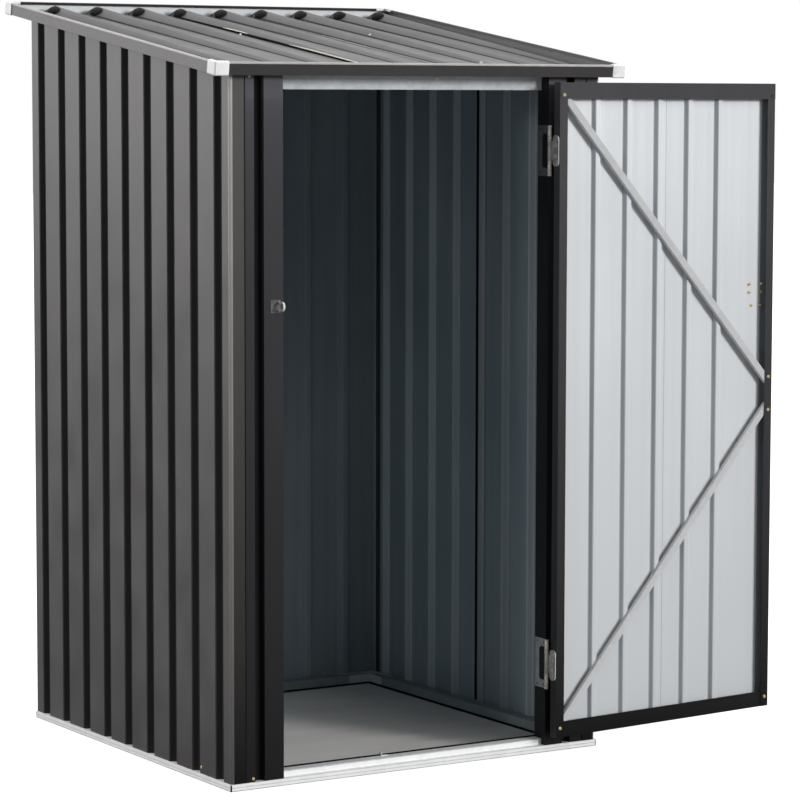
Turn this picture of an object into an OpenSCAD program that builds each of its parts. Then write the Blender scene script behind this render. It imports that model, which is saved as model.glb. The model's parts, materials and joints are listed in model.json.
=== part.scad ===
// Small lean-to storage shed of folded sheet steel with one framed door.
// Units are millimetres. X runs right along the front, Y to the back, Z up.
// The door is drawn swung right open, as in its rest pose.

/* [Base] */
// Width of the base frame along the front
base_width = 1000; // [900:1:1400]
// Depth of the base frame from front to back
base_depth = 1020; // [900:1:1400]
// Height of the base rail at its inner side
rail_height = 30; // [24:1:45]
// Width of the base rail seen from above
rail_width = 50; // [40:1:70]
// Height of the outer lip that carries the wall sheets
rail_lip = 16; // [10:1:20]

/* [Walls] */
// Height of the lower edge of the roof edging at the front
eave_height = 1599; // [1400:1:1900]
// Thickness of the wall, roof and door sheets
sheet = 0.8; // [0.5:0.1:1.2]
// Depth of the grooves rolled into the wall sheets
groove_depth = 14; // [6:0.5:16]
// Width of a groove at the outer face
groove_width = 34; // [24:1:36]

/* [Roof] */
// Rise of the roof from the front edge to the back edge
roof_rise = 157; // [80:1:240]
// Overhang of the roof past the base at each side
side_overhang = 48; // [40:1:80]
// Height of the roof edging
trim_height = 28.6; // [26:0.2:40]
// Height of the roof ribs at the back, where they stand highest
rib_height = 18; // [10:1:24]

/* [Door] */
// Width of the door leaf
door_width = 689; // [600:1:760]
// Angle of the open door from its closed place
door_open = 185.4; // [150:0.1:186]
// Width of the door stiles seen on the inner face
stile_width = 24; // [18:1:34]
// Height of the top and bottom rails of the door seen on the inner face
door_rail_height = 38; // [28:1:50]
// Width of the folded door braces
brace_width = 18; // [14:1:34]

/* [Hidden] */
$fn = 48;
metal = 1.0;
inset = 3;
half_w = base_width / 2;
half_d = base_depth / 2;
wall_x = half_w - inset;
wall_y = half_d - inset;
ledge = inset + groove_depth + 2 * sheet + 0.6;
groove_floor = 18;
groove_ease = 2.2;
corner_round = 7;
lap = 8;
rail_gap = 1.6;
touch_gap = 0.2;
floor_thick = 4;

// roof frame
front_over = 24;
back_over = 34;
roof_front = -half_d - front_over;
roof_run = base_depth + front_over + back_over;
slope = atan(roof_rise / roof_run);
roof_length = roof_run / cos(slope);
roof_half = half_w + side_overhang;
rib_count = 9;
rib_margin = 15.4;
rib_pitch = (2 * roof_half - 2 * rib_margin) / (rib_count + 0.1);
rib_first = -roof_half + rib_margin + rib_pitch;
rib_width = 64;
rib_front = 2;
stop_length = 46;
stop_radius = 17;
stop_raise = 4;
stop_aside = 17;
stop_from_back = 38;
sheet_end = 2;
trim_foot = 26;
trim_lip = 6;
trim_gap = 0.3;
cap_wall = 2;
cap_reach = 34;
cap_ease = 3;
angle_leg = 38;
angle_foot = 30;
angle_short = 32;
beam_height = 28;
beam_foot = 20;

// doorway
door_gap = 19;
hinge_gap = 3.5;
door_shift = 4.5;
opening_width = door_width + 2 * hinge_gap + door_gap;
opening_left = -door_shift - opening_width / 2;
opening_right = opening_left + opening_width;
strip_left = half_w + opening_left;
jamb_face = strip_left * 0.355;
jamb_depth = 45;
jamb_return = 26;
recess_width = strip_left * 0.175;
recess_depth = 15;
recess_slant = 3;
panel_tuck = 8;
corner_wrap = (strip_left - jamb_face - recess_width) * 0.58;
header_back = 34;
header_drop = 30;
header_foot = 22;

// door leaf, measured from the hinge axis with the door shut
axis_x = opening_right - hinge_gap;
axis_forward = 6;
axis_y = -half_d - axis_forward;
leaf_front = 12;
leaf_back = 34;
door_clear_low = 10;
door_clear_high = 12;
door_low = rail_height + door_clear_low;
door_high = eave_height - door_clear_high;
rib_one = 127;
rib_last = 170;
door_pitch = (door_width - rib_one - rib_last) / 4;
seam_at = rib_one + 2 * door_pitch;
door_rib_width = 26;
door_rib_crest = 15;
door_rib_depth = 9;
door_rib_ease = 1.2;
brace_tuck = 16;
brace_spread = 42;

// hinges
hinge_length = 118;
hinge_from_low = 114;
hinge_from_high = 218;
hinge_low = door_low + hinge_from_low;
hinge_high = door_high - hinge_from_high;
hinge_end = 36;
hinge_middle = hinge_length - 2 * hinge_end;
knuckle = 5;
knuckle_gap = 0.5;
pin = 2.5;
running = 0.05;
hinge_plate = 1.5;
jamb_leaf_reach = 50;
slot_start = 6;
slot_width = 28;
slot_past = 17;
slot_round = 9;

// latch and staple
latch_from_edge = 63;
latch_at = door_width - latch_from_edge;
latch_z = door_low + 0.6767 * (door_high - door_low);
fitting = 1.6;
staple_from_edge = 33;
staple_plate = [26, 30];
loop_thick = 4.5;
loop_reach = 14;
loop_outer = 11;
loop_inner = 6.5;

// Height of the roof underside above a place along Y
function roof_z(y) = eave_height + (y - roof_front) * tan(slope);

// Points across one half of a rolled groove from the face down to its floor, with the bends eased
function groove_side(wide, flat, deep, ease) =
  let (run = (wide - flat) / 2, long = sqrt(run * run + deep * deep),
       ease_run = ease * run / long, ease_deep = ease * deep / long)
  [[-wide / 2 - ease, 0], [-wide / 2 + ease_run, ease_deep],
   [-flat / 2 - ease_run, deep - ease_deep], [-flat / 2 + ease, deep]];

// Line of a sheet from one edge to the other with the grooves of one side profile at the given places
function sheet_line(start, end, places, side) =
  let (across = concat(side, turned([for (p = side) [-p[0], p[1]]])))
  concat([[start, 0]], [for (place = places) for (p = across) [place + p[0], p[1]]], [[end, 0]]);

function turned(points) = [for (i = [len(points) - 1 : -1 : 0]) points[i]];
function lifted(points, height) = [for (p = points) [p[0], p[1] + height]];
function strip(line, thick) = concat(line, turned(lifted(line, thick)));

// Quarter round of a fold, from the end of one face to the start of the next
function fold(start, radius, thick) =
  [for (turn = [0 : 15 : 75])
    [start + radius - (radius - thick) * cos(turn), radius - (radius - thick) * sin(turn)]];

// Grooves are spread evenly about the middle of a wall
function wall_places(count, pitch) = [for (i = [0 : count - 1]) (i - (count - 1) / 2) * pitch];

side_count = 9;
back_count = 8;
side_all = wall_places(side_count, base_depth / (side_count + 0.035));
back_all = wall_places(back_count, base_width / (back_count + 0.85));
half_groove = groove_width / 2;
wall_groove = groove_side(groove_width, groove_floor, groove_depth, groove_ease);

module roof_frame() {
  translate([0, roof_front, eave_height]) rotate([slope, 0, 0]) children();
}

// Everything above the roof underside, used to cut the walls
module above_roof(drop = 0) {
  roof_frame() translate([-3000, -1000, -drop]) cube([6000, 4500, 1500]);
}

// Footprint of one side of the base frame with mitred ends
module mitre_x(half_long, half_far, wide, gap) {
  linear_extrude(height = 400, center = true)
    polygon([[-half_long + gap, -half_far - 1], [half_long - gap, -half_far - 1],
             [half_long - wide - gap, -half_far + wide], [-half_long + wide + gap, -half_far + wide]]);
}

// Folded base rail section, from the outer lip to the inner face
module rail_section() {
  polygon([[0, 0], [0, rail_lip], [ledge, rail_lip], [ledge, rail_height], [rail_width, rail_height],
           [rail_width, 0], [rail_width - metal, 0], [rail_width - metal, rail_height - metal],
           [ledge + metal, rail_height - metal], [ledge + metal, rail_lip - metal], [metal, rail_lip - metal],
           [metal, 0]]);
}

module rail_along_x() {
  intersection() {
    translate([-half_w, -half_d, 0]) rotate([90, 0, 90]) linear_extrude(height = base_width) rail_section();
    mitre_x(half_w, half_d, rail_width, rail_gap);
  }
}

module rail_along_y() {
  intersection() {
    translate([-half_w, half_d, 0]) rotate([90, 0, 0]) linear_extrude(height = base_depth) rail_section();
    rotate([0, 0, -90]) mitre_x(half_d, half_w, rail_width, rail_gap);
  }
}

module base_rail_front() { color("gainsboro") rail_along_x(); }
module base_rail_back() { color("gainsboro") mirror([0, 1, 0]) rail_along_x(); }
module base_rail_left() { color("gainsboro") rail_along_y(); }
module base_rail_right() { color("gainsboro") mirror([1, 0, 0]) rail_along_y(); }

module floor_panel() {
  edge = rail_width + touch_gap;
  color("gray") translate([-half_w + edge, -half_d + edge, 0])
    cube([base_width - 2 * edge, base_depth - 2 * edge, floor_thick]);
}

// Upright sheet from a plan outline, cut under the roof
module upright(low) {
  difference() {
    translate([0, 0, low]) linear_extrude(height = eave_height + roof_rise - low + 40) children();
    above_roof();
  }
}

side_seam = side_all[4];
side_front_line = sheet_line(-wall_y + corner_round, side_seam + half_groove + lap,
  [for (i = [0 : 4]) side_all[i]], wall_groove);
side_back_line = sheet_line(side_seam - half_groove - lap, wall_y - metal, [for (i = [4 : 8]) side_all[i]],
  wall_groove);

// Front sheet of a side wall, folded round the front corner
module side_front_sheet() {
  outer = concat([[-wall_y, corner_wrap]], fold(-wall_y, corner_round, 0), side_front_line);
  inner = concat([[-wall_y + sheet, corner_wrap]], fold(-wall_y, corner_round, sheet),
    lifted(side_front_line, sheet));
  points = concat(outer, turned(inner));
  upright(rail_lip) polygon([for (p = points) [-wall_x + p[1], p[0]]]);
}

module side_back_sheet() {
  points = strip(lifted(side_back_line, sheet), sheet);
  upright(rail_lip) polygon([for (p = points) [-wall_x + p[1], p[0]]]);
}

module left_wall_front_sheet() { color("dimgray") side_front_sheet(); }
module left_wall_back_sheet() { color("dimgray") side_back_sheet(); }
module right_wall_front_sheet() { color("dimgray") mirror([1, 0, 0]) side_front_sheet(); }
module right_wall_back_sheet() { color("dimgray") mirror([1, 0, 0]) side_back_sheet(); }

back_flange = wall_y - side_all[side_count - 1] - half_groove - 2 * groove_ease;

// Corner sheet of the back wall, with a flange folded inside the side wall
module back_corner_sheet() {
  edge = -wall_x + 2 * sheet;
  line = sheet_line(edge + corner_round, back_all[1] + half_groove + lap, [back_all[0], back_all[1]],
    wall_groove);
  outer = concat([[edge, back_flange]], fold(edge, corner_round, 0), line);
  inner = concat([[edge + sheet, back_flange]], fold(edge, corner_round, sheet), lifted(line, sheet));
  points = concat(outer, turned(inner));
  upright(rail_lip) polygon([for (p = points) [p[0], wall_y - p[1]]]);
}

module back_wall_left_sheet() { color("dimgray") back_corner_sheet(); }
module back_wall_right_sheet() { color("dimgray") mirror([1, 0, 0]) back_corner_sheet(); }
module back_wall_middle_sheet() {
  line = sheet_line(back_all[1] - half_groove - lap, back_all[6] + half_groove + lap,
    [for (i = [1 : 6]) back_all[i]], wall_groove);
  points = strip(lifted(line, sheet), sheet);
  color("dimgray") upright(rail_lip) polygon([for (p = points) [p[0], wall_y - p[1]]]);
}

// Front panel beside the doorway: a flat, then a step back behind the jamb
module front_panel(edge) {
  face = -wall_y + sheet;
  stop = edge - jamb_face;
  line = [[-wall_x + corner_round, 0], [stop - recess_width, 0],
          [stop - recess_width + recess_slant, recess_depth - sheet],
          [edge - panel_tuck, recess_depth - sheet]];
  upright(rail_lip) polygon([for (p = strip(line, sheet)) [p[0], face + p[1]]]);
}

module front_left_panel() { color("dimgray") front_panel(opening_left); }
module front_right_panel() { color("dimgray") mirror([1, 0, 0]) front_panel(-opening_right); }

// Folded jamb: a short return, the face, the reveal and a back return
module door_jamb(edge) {
  start = edge - jamb_face;
  face = -wall_y;
  back = face + jamb_depth;
  difference() {
    upright(rail_lip)
      polygon([[start, face + recess_depth], [start, face], [edge, face], [edge, back],
               [edge - jamb_return, back], [edge - jamb_return, back - metal],
               [edge - metal, back - metal], [edge - metal, face + metal], [start + metal, face + metal],
               [start + metal, face + recess_depth]]);
    translate([start - 1, -half_d + ledge - touch_gap, 0]) cube([jamb_face + 2, rail_width, rail_height]);
  }
}

module left_door_jamb() { color("slategray") door_jamb(opening_left); }
module right_door_jamb() { color("slategray") mirror([1, 0, 0]) door_jamb(-opening_right); }

// Galvanised strip over the doorway, set behind the shut door
module door_header() {
  face = -half_d + header_back;
  low = eave_height - header_drop;
  high = eave_height + roof_rise;
  color("lightgray") difference() {
    translate([opening_left, 0, 0]) rotate([90, 0, 90]) linear_extrude(height = opening_width)
      polygon([[face, low], [face, high], [face + metal, high], [face + metal, low + metal],
               [face + header_foot, low + metal], [face + header_foot, low]]);
    above_roof(-metal);
  }
}

top_web = inset + groove_depth + 2 * sheet;

// Angle along the top of a side wall, under the roof sheets
module top_rail_side() {
  outer = -half_w + top_web;
  inner = outer + angle_foot;
  roof_frame() translate([0, front_over + angle_short, 0]) rotate([-90, 0, 0])
    linear_extrude(height = base_depth / cos(slope) - angle_short - front_over)
      polygon([[outer, angle_leg], [outer, -metal], [inner, -metal], [inner, 0], [outer + metal, 0],
               [outer + metal, angle_leg]]);
}

module top_rail_left() { color("lightgray") top_rail_side(); }
module top_rail_right() { color("lightgray") mirror([1, 0, 0]) top_rail_side(); }
module top_rail_back() {
  outer = half_d - top_web;
  inner = outer - angle_foot;
  low = roof_z(outer) - angle_leg;
  reach = half_w - top_web - angle_short;
  color("lightgray") translate([-reach, 0, 0]) rotate([90, 0, 90]) linear_extrude(height = 2 * reach)
    polygon([[outer, low], [outer, roof_z(outer) + metal], [inner, roof_z(inner) + metal],
             [inner, roof_z(inner)], [outer - metal, roof_z(outer - metal)], [outer - metal, low]]);
}

// Channel across the middle of the roof, hung under the side rails
module roof_beam() {
  reach = half_w - top_web - metal;
  color("lightgray") roof_frame() translate([-reach, roof_length * 0.53, 0]) rotate([90, 0, 90])
    linear_extrude(height = 2 * reach)
      polygon([[0, 0], [angle_foot, 0], [angle_foot, -metal], [metal, -metal], [metal, -beam_height],
               [beam_foot, -beam_height], [beam_foot, -beam_height - metal], [0, -beam_height - metal]]);
}

// Roof ribs stand highest at the back and sink into the sheet towards the front
rib_tilt = atan((rib_height - rib_front) / roof_length);
stop_y = roof_length - stop_from_back;

function rib_at(i) = rib_first + i * rib_pitch;

// Bowed outline across a rib from its right foot to its left one, grown by a given amount
function rib_arc(grown) =
  [for (step = [5 : -1 : -5])
    [(rib_width / 2 + grown) * step / 5, (rib_height + grown) * (1 - pow(abs(step / 5), 1.6))]];

// One rib drawn along its slope from an outline across it
module along_rib(i) {
  translate([rib_at(i), 0, metal + rib_front - rib_height]) rotate([rib_tilt, 0, 0])
    translate([0, roof_length - sheet_end, 0]) rotate([90, 0, 0])
      linear_extrude(height = roof_length - 2 * sheet_end) children();
}

// Flat roof sheet with its ribs raised through it
module roof_sheet(start, end, from, to, lift, grown) {
  roof_frame() {
    difference() {
      translate([start, sheet_end, metal + lift]) cube([end - start, roof_length - 2 * sheet_end, sheet]);
      for (i = [from : to]) along_rib(i) polygon(rib_arc(grown));
    }
    difference() {
      for (i = [from : to]) along_rib(i) polygon(concat(rib_arc(grown + sheet), turned(rib_arc(grown))));
      translate([start - rib_width, -1, metal + lift - 4 * rib_height])
        cube([end - start + 2 * rib_width, roof_length + 2, 4 * rib_height]);
      translate([end, -1, 0]) cube([rib_width, roof_length + 2, 4 * rib_height]);
    }
  }
}

seam_reach = rib_width / 2 + 6;
rib_over = sheet + touch_gap;

module roof_sheet_left() {
  color("gray") roof_sheet(-roof_half + sheet_end, rib_at(2) + seam_reach, 0, 2, sheet, rib_over);
}
module roof_sheet_middle() {
  color("gray") roof_sheet(rib_at(2) - seam_reach, rib_at(5) + seam_reach, 2, 5, 0, 0);
}
module roof_sheet_right() {
  color("gray") roof_sheet(rib_at(5) - seam_reach, roof_half - sheet_end, 5, 8, sheet, rib_over);
}

// Dark round stops at the back of the ribs, seated on the left side of each
module roof_rib_plugs() {
  half = stop_length / 2;
  color("black") roof_frame() for (i = [0 : rib_count - 1]) {
    bed = metal + (i > 2 && i < 5 ? sheet : 2 * sheet);
    difference() {
      translate([rib_at(i) - stop_aside, stop_y, bed + stop_raise]) rotate([90, 0, 0]) rotate_extrude()
        polygon([for (turn = [-90 : 15 : 90]) [max(0, stop_radius * cos(turn)), half * sin(turn)]]);
      translate([rib_at(i) - rib_width, stop_y - stop_length, bed - stop_length])
        cube([2 * rib_width, 2 * stop_length, stop_length]);
      along_rib(i) polygon(rib_arc(rib_over + sheet + touch_gap));
    }
  }
}

// Roof edging: foot under the sheets, upright face and a small top lip
module trim_section() {
  polygon([[0, 0], [0, trim_height], [trim_lip, trim_height], [trim_lip, trim_height - metal],
           [metal, trim_height - metal], [metal, metal], [trim_foot, metal], [trim_foot, 0]]);
}

module trim_along_x() {
  intersection() {
    translate([-roof_half, 0, 0]) rotate([90, 0, 90]) linear_extrude(height = 2 * roof_half) trim_section();
    translate([0, roof_length / 2, 0]) mitre_x(roof_half, roof_length / 2, cap_reach, trim_gap);
  }
}

module trim_along_y() {
  intersection() {
    translate([-roof_half, roof_length, 0]) rotate([90, 0, 0])
      linear_extrude(height = roof_length) trim_section();
    translate([0, roof_length / 2, 0]) rotate([0, 0, -90])
      mitre_x(roof_length / 2, roof_half, cap_reach, trim_gap);
  }
}

module roof_trim_front() { color("slategray") roof_frame() trim_along_x(); }
module roof_trim_back() {
  color("slategray") roof_frame() translate([0, roof_length, 0]) mirror([0, 1, 0]) trim_along_x();
}
module roof_trim_left() { color("slategray") roof_frame() trim_along_y(); }
module roof_trim_right() { color("slategray") roof_frame() mirror([1, 0, 0]) trim_along_y(); }

// Outline of a corner cap seen along the edging, with its outer edges eased
module cap_side() {
  low = -cap_wall;
  high = trim_height + cap_wall;
  polygon([[low + cap_ease, low], [cap_reach, low], [cap_reach, high], [low + cap_ease, high],
           [low, high - cap_ease], [low, low + cap_ease]]);
}

// Plastic cap pushed over one mitred corner of the edging
module corner_cap() {
  wide = trim_lip + cap_wall;
  long = cap_reach + cap_wall;
  far = cap_reach + 1;
  difference() {
    intersection() {
      translate([-cap_wall, 0, 0]) rotate([90, 0, 90]) linear_extrude(height = long) cap_side();
      translate([0, cap_reach, 0]) rotate([90, 0, 0]) linear_extrude(height = long) cap_side();
      linear_extrude(height = 200, center = true)
        polygon([[cap_ease - cap_wall, -cap_wall], [far, -cap_wall], [far, wide], [wide, wide], [wide, far],
                 [-cap_wall, far], [-cap_wall, cap_ease - cap_wall]]);
    }
    cube([far, far, trim_height]);
    translate([metal, metal, -cap_wall - 1]) cube([far, far, trim_height]);
  }
}

module roof_corner_caps() {
  color("white") roof_frame() {
    translate([-roof_half, 0, 0]) corner_cap();
    mirror([1, 0, 0]) translate([-roof_half, 0, 0]) corner_cap();
    translate([-roof_half, roof_length, 0]) mirror([0, 1, 0]) corner_cap();
    mirror([1, 0, 0]) translate([-roof_half, roof_length, 0]) mirror([0, 1, 0]) corner_cap();
  }
}

// Loop on the latch side jamb that takes the bolt and a padlock
module lock_staple() {
  color("silver") translate([opening_left - staple_from_edge, -wall_y - fitting, latch_z]) {
    translate([0, 0, -staple_plate[1] / 2]) cube([staple_plate[0], fitting, staple_plate[1]]);
    translate([staple_plate[0] - loop_thick - 2, fitting / 2, 0]) rotate([90, 0, 90])
      linear_extrude(height = loop_thick) difference() {
        union() {
          translate([-loop_reach, -loop_outer]) square([loop_reach, 2 * loop_outer]);
          translate([-loop_reach, 0]) circle(r = loop_outer);
        }
        translate([-loop_reach, -loop_inner]) square([loop_reach + 1, 2 * loop_inner]);
        translate([-loop_reach, 0]) circle(r = loop_inner);
      }
  }
}

// Rectangle with round corners
module eased_square(wide, tall, radius) {
  translate([radius, 0]) square([wide - 2 * radius, tall]);
  translate([0, radius]) square([wide, tall - 2 * radius]);
  for (x = [radius, wide - radius], y = [radius, tall - radius]) translate([x, y]) circle(r = radius);
}

// Hinge leaf on the jamb with the two end knuckles and the pin
module jamb_leaf(low) {
  translate([axis_x, axis_y, low]) {
    translate([hinge_gap - hinge_plate, 0, 0]) rotate([90, 0, 90]) linear_extrude(height = hinge_plate)
      difference() {
        square([jamb_leaf_reach, hinge_length]);
        translate([-1, hinge_end]) square([slot_start + slot_width, hinge_middle]);
        translate([slot_start, hinge_end - slot_past])
          eased_square(slot_width, hinge_middle + 2 * slot_past, slot_round);
      }
    cylinder(r = knuckle, h = hinge_end);
    translate([0, 0, hinge_length - hinge_end]) cylinder(r = knuckle, h = hinge_end);
    cylinder(r = pin, h = hinge_length);
  }
}

module upper_hinge_jamb_leaf() { color("silver") jamb_leaf(hinge_high); }
module lower_hinge_jamb_leaf() { color("silver") jamb_leaf(hinge_low); }

// Door pieces are drawn shut round the hinge axis, then swung open
module on_door() {
  translate([axis_x, axis_y, 0]) rotate([0, 0, door_open]) children();
}

// Hinge leaf on the door edge with the middle knuckle
module door_leaf(low) {
  tall = hinge_middle - 2 * knuckle_gap;
  past = slot_past - 4;
  translate([0, 0, low + hinge_end + knuckle_gap]) difference() {
    union() {
      cylinder(r = knuckle, h = tall);
      translate([-hinge_gap, 0, 0]) rotate([90, 0, 90]) linear_extrude(height = hinge_plate) {
        square([slot_width / 2, tall]);
        translate([slot_start + 3, -past]) eased_square(slot_width - 6, tall + 2 * past, slot_round - 1);
      }
    }
    translate([0, 0, -1]) cylinder(r = pin + running, h = tall + 2);
  }
}

module upper_hinge_door_leaf() { color("silver") on_door() door_leaf(hinge_high); }
module lower_hinge_door_leaf() { color("silver") on_door() door_leaf(hinge_low); }

function door_rib(i) = rib_one + i * door_pitch;

// Door sheet with its ribs towards the inside, measured from the hinge edge
module door_sheet(start, end, from, to, front) {
  side = groove_side(door_rib_width, door_rib_crest, door_rib_depth, door_rib_ease);
  line = sheet_line(start, end, [for (i = [from : to]) door_rib(i)], side);
  edge = metal + touch_gap;
  on_door() translate([0, 0, door_low + edge]) linear_extrude(height = door_high - door_low - 2 * edge)
    polygon([for (p = strip(line, sheet)) [-hinge_gap - p[0], front + p[1]]]);
}

module door_sheet_hinge_side() {
  color("lightsteelblue") door_sheet(touch_gap, seam_at + door_rib_width, 0, 2, leaf_front);
}
module door_sheet_latch_side() {
  color("lightsteelblue")
    door_sheet(seam_at - door_rib_width, door_width - touch_gap, 2, 4, leaf_front - sheet);
}

// Levels of the door frame on its inner face: top rail over the stiles, bottom rail under them
stile_back = leaf_back - metal;
rail_back = stile_back - metal;
sheet_crest = leaf_front + sheet + door_rib_depth;

// Channel stile: edge web with a flange on both faces
module stile(front) {
  inner = stile_back - metal;
  linear_extrude(height = door_high - door_low - metal)
    polygon([[0, front], [0, stile_back], [-stile_width, stile_back], [-stile_width, inner],
             [-metal, inner], [-metal, front + metal], [-stile_width, front + metal],
             [-stile_width, front]]);
}

module door_stile_hinge() {
  color("dimgray") on_door() translate([-hinge_gap, 0, door_low]) stile(leaf_front + sheet);
}
module door_stile_latch() {
  color("dimgray") on_door() translate([-hinge_gap - door_width, 0, door_low])
    mirror([1, 0, 0]) stile(leaf_front);
}

// Angle rail: edge web across the leaf and a flange on the inner face
module door_rail(front, back, shorter) {
  tall = door_rail_height;
  translate([-hinge_gap - door_width + shorter, 0, 0]) rotate([90, 0, 90])
    linear_extrude(height = door_width - 2 * shorter)
      polygon([[front, 0], [back, 0], [back, tall], [back - metal, tall], [back - metal, metal],
               [front, metal]]);
}

module door_rail_top() {
  color("dimgray") on_door() translate([0, 0, door_high]) mirror([0, 0, 1])
    door_rail(leaf_front - sheet, leaf_back, 0);
}
module door_rail_bottom() {
  color("dimgray") on_door() translate([0, 0, door_low])
    door_rail(leaf_front + sheet + metal, rail_back, metal);
}

// Folded brace from a corner of the door frame to the latch stile, tucked under their flanges
module brace(from_z, to_z, face) {
  run = door_width - 2 * stile_width;
  long = sqrt(pow(run, 2) + pow(to_z - from_z, 2));
  turn = atan2(to_z - from_z, -run);
  half = brace_width / 2;
  lip = face - sheet_crest - touch_gap;
  on_door() translate([-hinge_gap - stile_width, face, from_z]) rotate([0, -turn, 0])
    translate([-brace_tuck, 0, 0]) rotate([90, 0, 90]) linear_extrude(height = long + 2 * brace_tuck)
      polygon([[0, -half], [0, half], [-lip, half], [-lip, half - metal], [-metal, half - metal],
               [-metal, -half + metal], [-lip, -half + metal], [-lip, -half]]);
}

brace_meet = door_low + 0.508 * (door_high - door_low);

module door_brace_upper() {
  color("silver") brace(door_high - door_rail_height, brace_meet + brace_spread, rail_back);
}
module door_brace_lower() {
  color("silver") brace(door_low + door_rail_height, brace_meet - brace_spread, rail_back - metal);
}

bolt_plate = [54, 34];
pull_plate = [40, 42];
bolt_stand = 8;
bolt_radius = 4.5;
bolt_length = 56;
guide = [7, 13.5, 14];
guide_apart = 31;
knob_neck = 3;
knob_radius = 6;
knob_length = 5;

// Slide bolt and pull plate on the outer face
module door_latch() {
  color("silver") on_door() translate([-hinge_gap - latch_at, leaf_front - sheet, latch_z]) {
    translate([-bolt_plate[0] / 2, -fitting, -bolt_plate[1] / 2])
      cube([bolt_plate[0], fitting, bolt_plate[1]]);
    translate([-pull_plate[0] / 2, -fitting, -pull_plate[1]]) cube([pull_plate[0], fitting, pull_plate[1]]);
    for (side = [-1, 1])
      translate([side * guide_apart / 2 - guide[0] / 2, -guide[1] - fitting / 2, -guide[2] / 2]) cube(guide);
    translate([-bolt_length / 2, -bolt_stand, 0]) rotate([0, 90, 0])
      cylinder(r = bolt_radius, h = bolt_length);
    translate([0, -bolt_stand, 0]) rotate([90, 0, 0]) cylinder(r = knob_neck, h = guide[2]);
    translate([0, -bolt_stand - guide[2], 0]) rotate([90, 0, 0]) cylinder(r = knob_radius, h = knob_length);
  }
}

base_rail_front();
base_rail_back();
base_rail_left();
base_rail_right();
floor_panel();
left_wall_front_sheet();
left_wall_back_sheet();
right_wall_front_sheet();
right_wall_back_sheet();
back_wall_left_sheet();
back_wall_middle_sheet();
back_wall_right_sheet();
front_left_panel();
front_right_panel();
left_door_jamb();
right_door_jamb();
door_header();
top_rail_left();
top_rail_right();
top_rail_back();
roof_beam();
roof_sheet_left();
roof_sheet_middle();
roof_sheet_right();
roof_trim_front();
roof_trim_back();
roof_trim_left();
roof_trim_right();
roof_corner_caps();
roof_rib_plugs();
lock_staple();
upper_hinge_jamb_leaf();
lower_hinge_jamb_leaf();
door_sheet_hinge_side();
door_sheet_latch_side();
door_stile_hinge();
door_stile_latch();
door_rail_top();
door_rail_bottom();
door_brace_upper();
door_brace_lower();
upper_hinge_door_leaf();
lower_hinge_door_leaf();
door_latch();
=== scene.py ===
import json
import math

import bmesh
import bpy
from mathutils import Matrix, Vector


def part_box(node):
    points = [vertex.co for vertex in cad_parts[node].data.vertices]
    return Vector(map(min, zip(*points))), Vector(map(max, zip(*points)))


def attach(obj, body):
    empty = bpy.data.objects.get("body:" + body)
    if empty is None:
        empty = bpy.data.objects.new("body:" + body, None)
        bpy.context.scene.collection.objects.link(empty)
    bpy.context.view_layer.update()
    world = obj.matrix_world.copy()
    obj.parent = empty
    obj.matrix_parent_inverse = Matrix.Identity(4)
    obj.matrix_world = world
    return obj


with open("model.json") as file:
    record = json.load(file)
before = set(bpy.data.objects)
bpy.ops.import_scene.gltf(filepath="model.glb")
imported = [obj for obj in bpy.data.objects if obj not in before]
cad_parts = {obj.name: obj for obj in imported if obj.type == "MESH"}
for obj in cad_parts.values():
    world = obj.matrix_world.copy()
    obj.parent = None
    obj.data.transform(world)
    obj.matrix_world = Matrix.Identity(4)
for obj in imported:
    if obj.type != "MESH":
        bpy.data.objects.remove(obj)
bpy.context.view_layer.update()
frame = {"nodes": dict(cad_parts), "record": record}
nodes = frame["nodes"]
mm = 0.001

# Driving sizes, as in the solids
wall_x = 497 * mm
wall_y = 507 * mm
eave_height = 1599 * mm
roof_front = -534 * mm
roof_run = 1078 * mm
roof_rise = 157 * mm
roof_half = 548 * mm
roof_metal = 1 * mm
sheet = 0.8 * mm
trim_height = 28.6 * mm
rib_height = 18 * mm
rib_front = 2 * mm
rib_width = 64 * mm
rib_margin = 15.4 * mm
rib_count = 9
rail_lip = 16 * mm
rail_height = 30 * mm
rail_width = 50 * mm
rail_ledge = 19.2 * mm
base_x = 500 * mm
base_y = 510 * mm
side_pitch = 1020 * mm / 9.035
back_pitch = 1000 * mm / 8.85
hinge_gap = 3.5 * mm
door_width = 689 * mm
door_low = 40 * mm
door_high = 1587 * mm
door_inner = 34 * mm
stile_inner = 33 * mm
door_sheet_inner = 12.8 * mm
door_rib_width = 26 * mm
door_rib_first = 127 * mm
door_rib_ends = 297 * mm
door_pitch = (door_width - door_rib_ends) / 4
groove_depth = 14 * mm
wrap_width = 37.6 * mm

# Limits that tell the faces of the folded sheets apart
wrap_depth = 7 * mm
recess_depth = 2 * mm
stile_depth = 20 * mm
fold_clear = 60 * mm
corner_clear = 20 * mm
facing = 0.12
flank_tilt = 0.25
steep_flank_tilt = 0.3
squarely = 0.5
flat_front = -0.995

quarter = math.pi / 2
side_turns = {"front": Matrix.Rotation(quarter, 4, "Z"), "back": Matrix.Rotation(-quarter, 4, "Z"),
              "left": Matrix.Identity(4), "right": Matrix.Rotation(math.pi, 4, "Z")}

slope = math.atan(roof_rise / roof_run)
roof_length = roof_run / math.cos(slope)
rib_pitch = (2 * roof_half - 2 * rib_margin) / (rib_count + 0.1)
joint = frame["record"]["behaviour"]["joints"][0]
hinge = Vector(joint["pos_m"])
opened = math.radians(-joint["range_deg"][0])


# Places on the faces of the shed, each with its Z axis pointing out of the face

def on_front(x, z, y=-wall_y):
    return Matrix.Translation((x, y, z)) @ Matrix.Rotation(math.pi / 2, 4, "X")


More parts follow.
